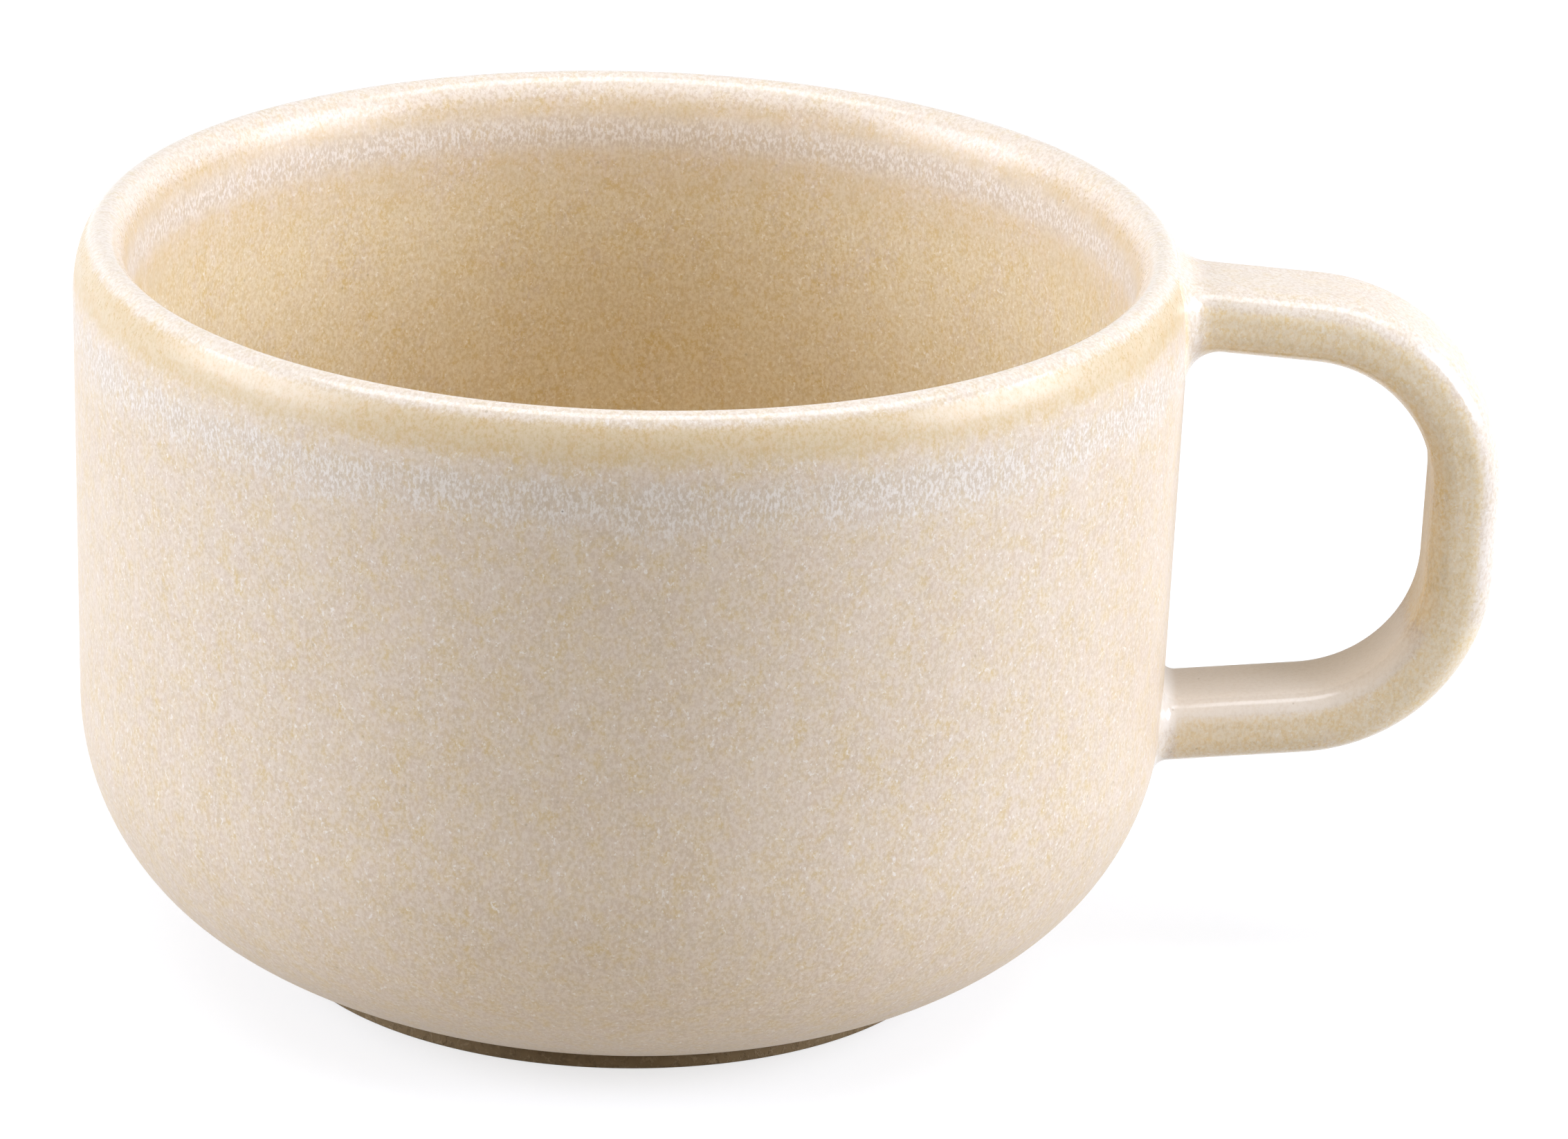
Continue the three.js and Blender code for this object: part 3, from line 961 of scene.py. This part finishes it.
def foot_outline():
    angles = np.linspace(0, math.pi / 2, FOOT_EDGE_STEPS + 1)
    curve = np.stack([1 - np.sin(angles), 1 - np.cos(angles)], axis=1) * FOOT_EDGE_ROUND
    inner_edge = np.array([FOOT_INNER, 0]) + curve[::-1]
    outer_edge = np.array([FOOT_RADIUS, 0]) + curve * (-1, 1)
    top = [(FOOT_RADIUS, FOOT_HEIGHT + FOOT_OVERLAP), (FOOT_INNER, FOOT_HEIGHT)]
    return np.concatenate([inner_edge, outer_edge, top, inner_edge[:1]])


foot = turn_piece("bare_foot_ring", foot_outline(), clay)
settle(foot, "foot_ring")

# %% [markdown]
# ## The slip joints
# A potter scores both faces, wets them with slip, presses the handle on and smooths the slip into a fillet.
# A bevel can't follow such a fillet, because the wall is round and the fillet is larger on top. Here a ball
# rolls round the strap while it touches the wall, and the path of its surface is the fillet: the old way
# that fillets were defined in drawing offices. The edge of each joint dips just under the wall's skin.

# %% Rolling a ball round the strap
EDGE_STEPS = 8
FLAT_STEPS = 8
FILLET_STEPS = 14
ROLL_TRIES = 60
SKIN_DIP = 0.008
DIP_START = 0.9
SEAT_DEPTH = 0.4


def strap_section():
    """Points round the strap with their outward directions: across it and up through it."""
    points = []
    normals = []
    corners = STRAP_CORE * [(1, 1), (-1, 1), (-1, -1), (1, -1)]
    for quarter, centre in enumerate(corners):
        for angle in (quarter + np.linspace(0, 1, EDGE_STEPS + 1)) * math.pi / 2:
            normal = np.array([math.cos(angle), math.sin(angle)])
            points.append(centre + STRAP_EDGE_ROUND * normal)
            normals.append(normal)
        goal = corners[(quarter + 1) % len(corners)]
        for share in np.linspace(0, 1, FLAT_STEPS + 1)[1:-1]:
            points.append(centre + (goal - centre) * share + STRAP_EDGE_ROUND * normals[-1])
            normals.append(normals[-1])
    return np.array(points), np.array(normals)


def fillet_balls(bar):
    """Balls that touch the strap all round: their places, their radii, and the strap's directions there."""
    section, normals = strap_section()
    rise = normals[:, 1]
    ends = np.where(rise > 0, bar.fillet["top"], bar.fillet["under"])
    radius = bar.fillet["side"] + (ends - bar.fillet["side"]) * rise ** 2
    return section + normals * radius[:, None], radius, normals


def roll_in(bar, balls, gap):
    """How far along the bar the balls stop, at a gap from the wall, when they come from the grip."""
    travel = np.full(len(balls), FINGER_GAP)
    for _ in range(ROLL_TRIES):
        centre = bar.at(balls, travel)
        travel = travel - (nearest_on_wall(centre)[1] - gap)
    return travel, centre


def fillet_rings(bar):
    """Rings of points from the strap, along the fillet, to the wall, and the directions to the wall."""
    balls, radius, normals = fillet_balls(bar)
    centre = roll_in(bar, balls, radius)[1]
    to_strap = -(np.outer(normals[:, 0], bar.across) + np.outer(normals[:, 1], bar.up))
    to_wall = nearest_on_wall(centre)[0] - centre
    to_wall /= np.linalg.norm(to_wall, axis=1, keepdims=True)
    angle = np.arccos(np.clip((to_strap * to_wall).sum(axis=1), -1, 1))
    rings = []
    for share in np.linspace(0, 1, FILLET_STEPS + 1):
        first = np.sin((1 - share) * angle) / np.sin(angle)
        second = np.sin(share * angle) / np.sin(angle)
        direction = to_strap * first[:, None] + to_wall * second[:, None]
        dip = SKIN_DIP * max(0, share - DIP_START) / (1 - DIP_START)
        rings.append(centre + direction * (radius + dip)[:, None])
    return rings, to_wall


def joint_end(bar):
    """Where the strap's flat end meets the joint, as in the CAD solids, measured along the bar."""
    balls, radius, _ = fillet_balls(bar)
    travel = roll_in(bar, balls, radius + SLIP_GAP)[0]
    return travel.max() + JOINT_LAND + SLIP_GAP


upper_end = joint_end(upper_bar)
lower_end = joint_end(lower_bar)
print("handle starts along the bars at", round(upper_end, 2), round(lower_end, 2), "mm")

# %% [markdown]
# ## Skinning the joints
# The rings become faces, the strap's end and the seat in the wall close the skin, and the edges of those
# two closings are marked sharp so that the smooth shading doesn't bend round them.

# %% Slip joints
LAND_STEPS = 4


def skin(name, rings, finish):
    """Joins rings of equal count into a closed mesh, with sharp edges round its two ends."""
    count = len(rings[0])
    points = np.concatenate(rings) + np.array([AXIS_X, 0, 0])
    faces = []
    for ring in range(len(rings) - 1):
        for i in range(count):
            a = ring * count + i
            b = ring * count + (i + 1) % count
            faces.append((a, b, b + count, a + count))
    last = (len(rings) - 1) * count
    faces.append(tuple(range(count - 1, -1, -1)))
    faces.append(tuple(range(last, last + count)))
    mesh = bpy.data.meshes.new(name)
    mesh.from_pydata([tuple(p) for p in points * MM], [], faces)
    mesh.materials.append(finish)
    shape = bmesh.new()
    shape.from_mesh(mesh)
    bmesh.ops.recalc_face_normals(shape, faces=shape.faces)
    shape.to_mesh(mesh)
    shape.free()
    mesh.shade_smooth()
    mark_ends(mesh)
    return show(name, mesh)


def mark_ends(mesh):
    """Marks the edges of the large end faces sharp."""
    sharp = mesh.attributes.get("sharp_edge") or mesh.attributes.new("sharp_edge", "BOOLEAN", "EDGE")
    for face in mesh.polygons:
        if len(face.vertices) > 4:
            for corner in face.loop_indices:
                sharp.data[mesh.loops[corner].edge_index].value = True


def make_joint(name, bar, end):
    section = strap_section()[0]
    rings, to_wall = fillet_rings(bar)
    land = [bar.at(section, np.full(len(section), end))]
    for share in np.linspace(0, 1, LAND_STEPS + 1)[1:-1]:
        land.append(land[0] + (rings[0] - land[0]) * share)
    seat = rings[-1] + to_wall * SEAT_DEPTH
    return skin(name, [*land, *rings, seat], strap_glaze_painted_fill)


upper_joint = make_joint("upper_joint_fillet", upper_bar, upper_end)
lower_joint = make_joint("lower_joint_fillet", lower_bar, lower_end)
print("joints made:", upper_joint.name, lower_joint.name)

# %% [markdown]
# ## Glaze on the strap
# Glaze lies thicker on a face that looks up, and those faces are also painted paler, as faces lit from above,
# while the faces that look down keep the darker honey colour as painted shade. On the upper bar and the grip
# the face that looks up is the strap's outer face, and on the lower bar it is the inner one, so the two
# change places over a short stretch of the grip. The narrow sides have the thinnest glaze, and they show its
# honey colour. The whole strap is painted a little paler for its fill light, and the lower bar's upper face,
# in the shade of the upper bar, is painted paler still.

# %% Numbers for the strap's glaze
TURN_OVER = (6, 14)  # millimetres above the lower bar's root
OUTER_FACE = (-0.2, 0.8)  # from -1 on the inner face to 1 on the outer one
UPPER_FACE = (-0.3, 0.5)
# Painted light: this range finds the lower bar's upper face, which lies in the upper bar's shade, to paint it
# paler.
ARCH_SHADE_FACE = (0.2, -0.6)
SIDE_START = (1.0, 0.86)  # from 0 where the edge starts to round to 1 on the side
GLOSS_START = (0.1, 0.5)
GATHER_START = (0.15, 0.6)
# Painted light: the whole strap paler for its fill light, the outer faces and faces that look up paler still,
# partly as lit faces, and the lower bar's upper face paler against the upper bar's shade.
STRAP_PALE_AND_PAINTED_FILL = 0.28
UP_PALE_AND_PAINTED_LIGHT = 0.14
ARCH_PAINTED_LIGHT = 0.4
SIDE_LOSS = 0.5
STRAP_AMBER = 0.25
STRAP_FROST = 0.4


def outwards_on_strap(points):
    """From -1 on the face towards the finger gap to 1 on the outer face, all along the strap."""
    x = points[:, 0]
    rise = [bar.root[2] + (x - bar.root[0]) * bar.along[2] / bar.along[0] for bar in (upper_bar, lower_bar)]
    half_height = (rise[0] - rise[1]) / 2
    grip = wall_radius(points[:, 2]) + FINGER_GAP + STRAP_THICKNESS / 2
    over_x = x - grip + HANDLE_BEND
    over_z = np.abs(points[:, 2] - (rise[0] + rise[1]) / 2) - half_height + HANDLE_BEND
    corner = np.hypot(np.maximum(over_x, 0), np.maximum(over_z, 0))
    offset = corner + np.minimum(np.maximum(over_x, over_z), 0) - HANDLE_BEND
    return offset / (STRAP_THICKNESS / 2)


def glaze_strap_piece(piece):
    """Thin and golden over the narrow sides, and as painted shade over the faces that look down; paler on the
    faces that look up, partly as painted light; white at the joints.
    """
    points = in_millimetres(piece.data)
    gathered = gathered_at_joints(points)
    sideways = (np.abs(points[:, 1]) - STRAP_WIDTH / 2) / STRAP_EDGE_ROUND + 1
    outwards = outwards_on_strap(points)
    above_lower_bar = ramp(points[:, 2] - lower_bar.root[2], *TURN_OVER)
    looks_up_and_lit = ramp(outwards * (2 * above_lower_bar - 1), *UPPER_FACE)
    # Painted shade: the faces that look down keep the thin honey glaze, as the narrow sides do.
    thin = (1 - looks_up_and_lit * ramp(sideways, *SIDE_START)) * (1 - ramp(gathered, *GATHER_START))
    # Painted light: the lower bar's upper face, in the shade under the upper bar.
    arch_in_shade = looks_up_and_lit * ramp(outwards, *ARCH_SHADE_FACE)
    # Painted fill light over the whole strap, and painted light on the faces that look up and under the upper
    # bar.
    paleness_and_painted_light = STRAP_PALE_AND_PAINTED_FILL + UP_PALE_AND_PAINTED_LIGHT * np.maximum(ramp(outwards, *OUTER_FACE), looks_up_and_lit) + ARCH_PAINTED_LIGHT * arch_in_shade
    keep_numbers(
        piece,
        thin_glaze=STRAP_AMBER * thin,
        pooled_glaze=STRAP_FROST * (1 - thin),
        golden_glaze=thin,
        white_glaze=np.maximum(JOINT_WHITE * gathered, paleness_and_painted_light * (1 - SIDE_LOSS * thin)),
        glossy_glaze=ramp(sideways, *GLOSS_START),
    )


for joint, node in ((upper_joint, "upper_slip_joint"), (lower_joint, "lower_slip_joint")):
    glaze_strap_piece(joint)
    settle(joint, node)

# %% [markdown]
# ## The handle
# The strap is pulled from a lump of clay and bent while soft, so its section is the same all along. A path
# of four points, filleted at its two corners, is the strap's centre line, and a rounded rectangle is swept
# along it. Geometry Nodes keep the sizes as inputs, so a wider strap or a rounder bend is one number.

# %% Tree that sweeps a strap
PATH_STEP = 0.7 * MM
SECTION_STEP = 0.35 * MM
BEND_POINTS = 40
EDGE_POINTS = 10


def round_corners(tree, curve, radius, count):
    inputs = {"Curve": curve, "Radius": radius, "Count": count}
    return add_node(tree, "GeometryNodeFilletCurve", inputs, mode="POLY").outputs[0]


def even_points(tree, curve, length):
    inputs = {"Curve": curve, "Length": length}
    return add_node(tree, "GeometryNodeResampleCurve", inputs, mode="LENGTH").outputs[0]


def build_sweep():
    inputs = {
        "Corners": "Geometry",
        "Bend Radius": "Float",
        "Strap Width": "Float",
        "Strap Thickness": "Float",
        "Edge Round": "Float",
        "Finish": "Material",
    }
    tree, entry, result = new_group("sweep_strap", "GeometryNodeTree", inputs, {"Strap": "Geometry"})
    given = entry.outputs
    path = add_node(tree, "GeometryNodeMeshToCurve", {"Mesh": given["Corners"]}).outputs[0]
    path = round_corners(tree, path, given["Bend Radius"], BEND_POINTS)
    path = even_points(tree, path, PATH_STEP)
    sides = {"Width": given["Strap Width"], "Height": given["Strap Thickness"]}
    section = add_node(tree, "GeometryNodeCurvePrimitiveQuadrilateral", sides, mode="RECTANGLE").outputs[0]
    section = round_corners(tree, section, given["Edge Round"], EDGE_POINTS)
    section = even_points(tree, section, SECTION_STEP)
    drawn = {"Curve": path, "Profile Curve": section, "Fill Caps": True}
    strap = add_node(tree, "GeometryNodeCurveToMesh", drawn).outputs[0]
    end_tree(tree, strap, given["Finish"], result.inputs["Strap"])
    return tree


strap_sweep = build_sweep()
print("tree:", strap_sweep.name, "with", len(strap_sweep.nodes), "nodes")

# %% Handle
def crossing(point, direction, other_point, other_direction):
    """Where two lines in the plane of the handle cross."""
    gap = other_point - point
    across = direction[0] * other_direction[1] - direction[1] * other_direction[0]
    travel = (gap[0] * other_direction[1] - gap[1] * other_direction[0]) / across
    return point + direction * travel


def handle_corners():
    """The path's four points: the two ends at the joints and the two corners before they are rounded."""
    flat = np.array([0, 2])
    start = (upper_bar.root + upper_bar.along * upper_end)[flat]
    finish = (lower_bar.root + lower_bar.along * lower_end)[flat]
    grip_foot = np.array([wall_radius(0) + FINGER_GAP + STRAP_THICKNESS / 2, 0])
    grip_up = np.array([WALL_SLOPE, 1])
    upper_corner = crossing(start, upper_bar.along[flat], grip_foot, grip_up)
    lower_corner = crossing(finish, lower_bar.along[flat], grip_foot, grip_up)
    return [(x + AXIS_X, 0, z) for x, z in (start, upper_corner, lower_corner, finish)]


corner_points = np.array(handle_corners()) * MM
handle = grow(
    line_object("handle_path", corner_points),
    strap_sweep,
    "strap_handle",
    **{
        "Bend Radius": HANDLE_BEND * MM,
        "Strap Width": STRAP_WIDTH * MM,
        "Strap Thickness": STRAP_THICKNESS * MM,
        "Edge Round": STRAP_EDGE_ROUND * MM,
        "Finish": strap_glaze_painted_fill,
    },
)
mark_ends(handle.data)
glaze_strap_piece(handle)
settle(handle, "handle")

# %% [markdown]
# ## The floor and the white room
# The photo's background is plain white. A floor that is only lit would look grey, and more light on it would
# burn out the cup. So the floor adds a glow that only camera, glossy and transmission rays see: it looks
# white, and it still takes the cup's soft shadow. The glow is dimmer near the cup, where the shadow falls.
# To the rays that light the cup it is a plain pale floor, which throws warm light back up. The room works
# the same way: white where it is seen or mirrored, and a dim warm light where it lights the cup.

# %% Floor and world
FLOOR_HALF = 3.0
FLOOR_GREY = (0.45, 0.45, 0.45, 1.0)
FLOOR_PALE = (0.57, 0.535, 0.475, 1.0)
FLOOR_GLOW = 0.68
SHADOW_REACH = (0.2, 0.7)
ROOM_LIGHT = 0.18
ROOM_TINT = (1.0, 0.92, 0.77, 1.0)
WHITE = (1.0, 1.0, 1.0, 1.0)


def seen_directly(tree):
    """1 for rays from the camera, from a mirror or through glass, and 0 for rays that gather light."""
    path = add_node(tree, "ShaderNodeLightPath").outputs
    seen = calculate(tree, "MAXIMUM", path["Is Camera Ray"], path["Is Glossy Ray"])
    return calculate(tree, "MAXIMUM", seen, path["Is Transmission Ray"])


def build_floor():
    mesh = bpy.data.meshes.new("pale_floor")
    h = FLOOR_HALF
    mesh.from_pydata([(-h, -h, 0), (h, -h, 0), (h, h, 0), (-h, h, 0)], [], [(0, 1, 2, 3)])
    material, tree, shader, place = new_material("pale_floor")
    distance = add_node(tree, "ShaderNodeVectorMath", {0: place}, operation="LENGTH").outputs["Value"]
    far = soft_step(tree, distance, *SHADOW_REACH)
    seen = seen_directly(tree)
    looks = {
        "Base Color": mix_colour(tree, seen, FLOOR_PALE, FLOOR_GREY),
        "Roughness": 1.0,
        "Specular IOR Level": 0.0,
        "Emission Color": WHITE,
        "Emission Strength": calculate(tree, "MULTIPLY", seen, mix_value(tree, far, FLOOR_GLOW, 1.0)),
    }
    feed_all(tree, shader, looks)
    mesh.materials.append(material)
    return show("pale_floor", mesh)


def build_room():
    world = bpy.data.worlds.new("white_room")
    bpy.context.scene.world = world
    world.use_nodes = True
    tree = world.node_tree
    seen = seen_directly(tree)
    looks = {
        "Color": mix_colour(tree, seen, ROOM_TINT, WHITE),
        "Strength": mix_value(tree, seen, ROOM_LIGHT, 1.0),
    }
    feed_all(tree, tree.nodes["Background"], looks)


floor = build_floor()
build_room()
bpy.context.scene.view_settings.view_transform = "Standard"
print("floor of", 2 * FLOOR_HALF, "m, room light", ROOM_LIGHT)

# %% [markdown]
# ## The lamps
# The photo's light can be read off the cup. Its front is darkest in the middle and brightens in a straight
# line towards both edges, which is what a lamp at each side does. The two long highlights on the lip show
# how large those lamps are and how high they stand. The bright lip and handle top show a broad soft light
# above. The lamps are cooler than the room, because the cup's bright sides are greyer than its warm front.

# %% Softboxes
LAMP_AIM = Vector((AXIS_X, 0, 45)) * MM
SIDE_LAMP = {"elevation": 19, "distance": 0.9, "width": 0.62, "height": 0.44, "tint": (1.0, 1.09, 1.32)}
TOP_LAMP = {"elevation": 80, "distance": 0.35, "width": 0.60, "height": 0.14, "tint": (1.0, 1.03, 1.12)}


def softbox(name, azimuth, radiance, elevation, distance, width, height, tint):
    """A rectangular lamp that faces the cup. Azimuth 0 is the camera's side and 90 is to the right."""
    turn_angle = math.radians(azimuth)
    lift = math.radians(elevation)
    level = Vector((math.sin(turn_angle), -math.cos(turn_angle), 0)) * math.cos(lift)
    outwards = level + Vector((0, 0, math.sin(lift)))
    lamp = bpy.data.lights.new(name, "AREA")
    lamp.shape = "RECTANGLE"
    lamp.size = width
    lamp.size_y = height
    lamp.energy = radiance * math.pi * width * height
    lamp.color = tint
    holder = bpy.data.objects.new(name, lamp)
    holder.location = LAMP_AIM + outwards * distance
    holder.rotation_euler = (-outwards).to_track_quat("-Z", "Y").to_euler()
    holder.visible_camera = False
    bpy.context.scene.collection.objects.link(holder)
    print(name, "gives", round(lamp.energy, 2), "W")


softbox("left_softbox", azimuth=-80, radiance=7.8, **SIDE_LAMP)
softbox("right_softbox", azimuth=81, radiance=8.7, **SIDE_LAMP)
softbox("top_softbox", azimuth=0, radiance=3.2, **TOP_LAMP)
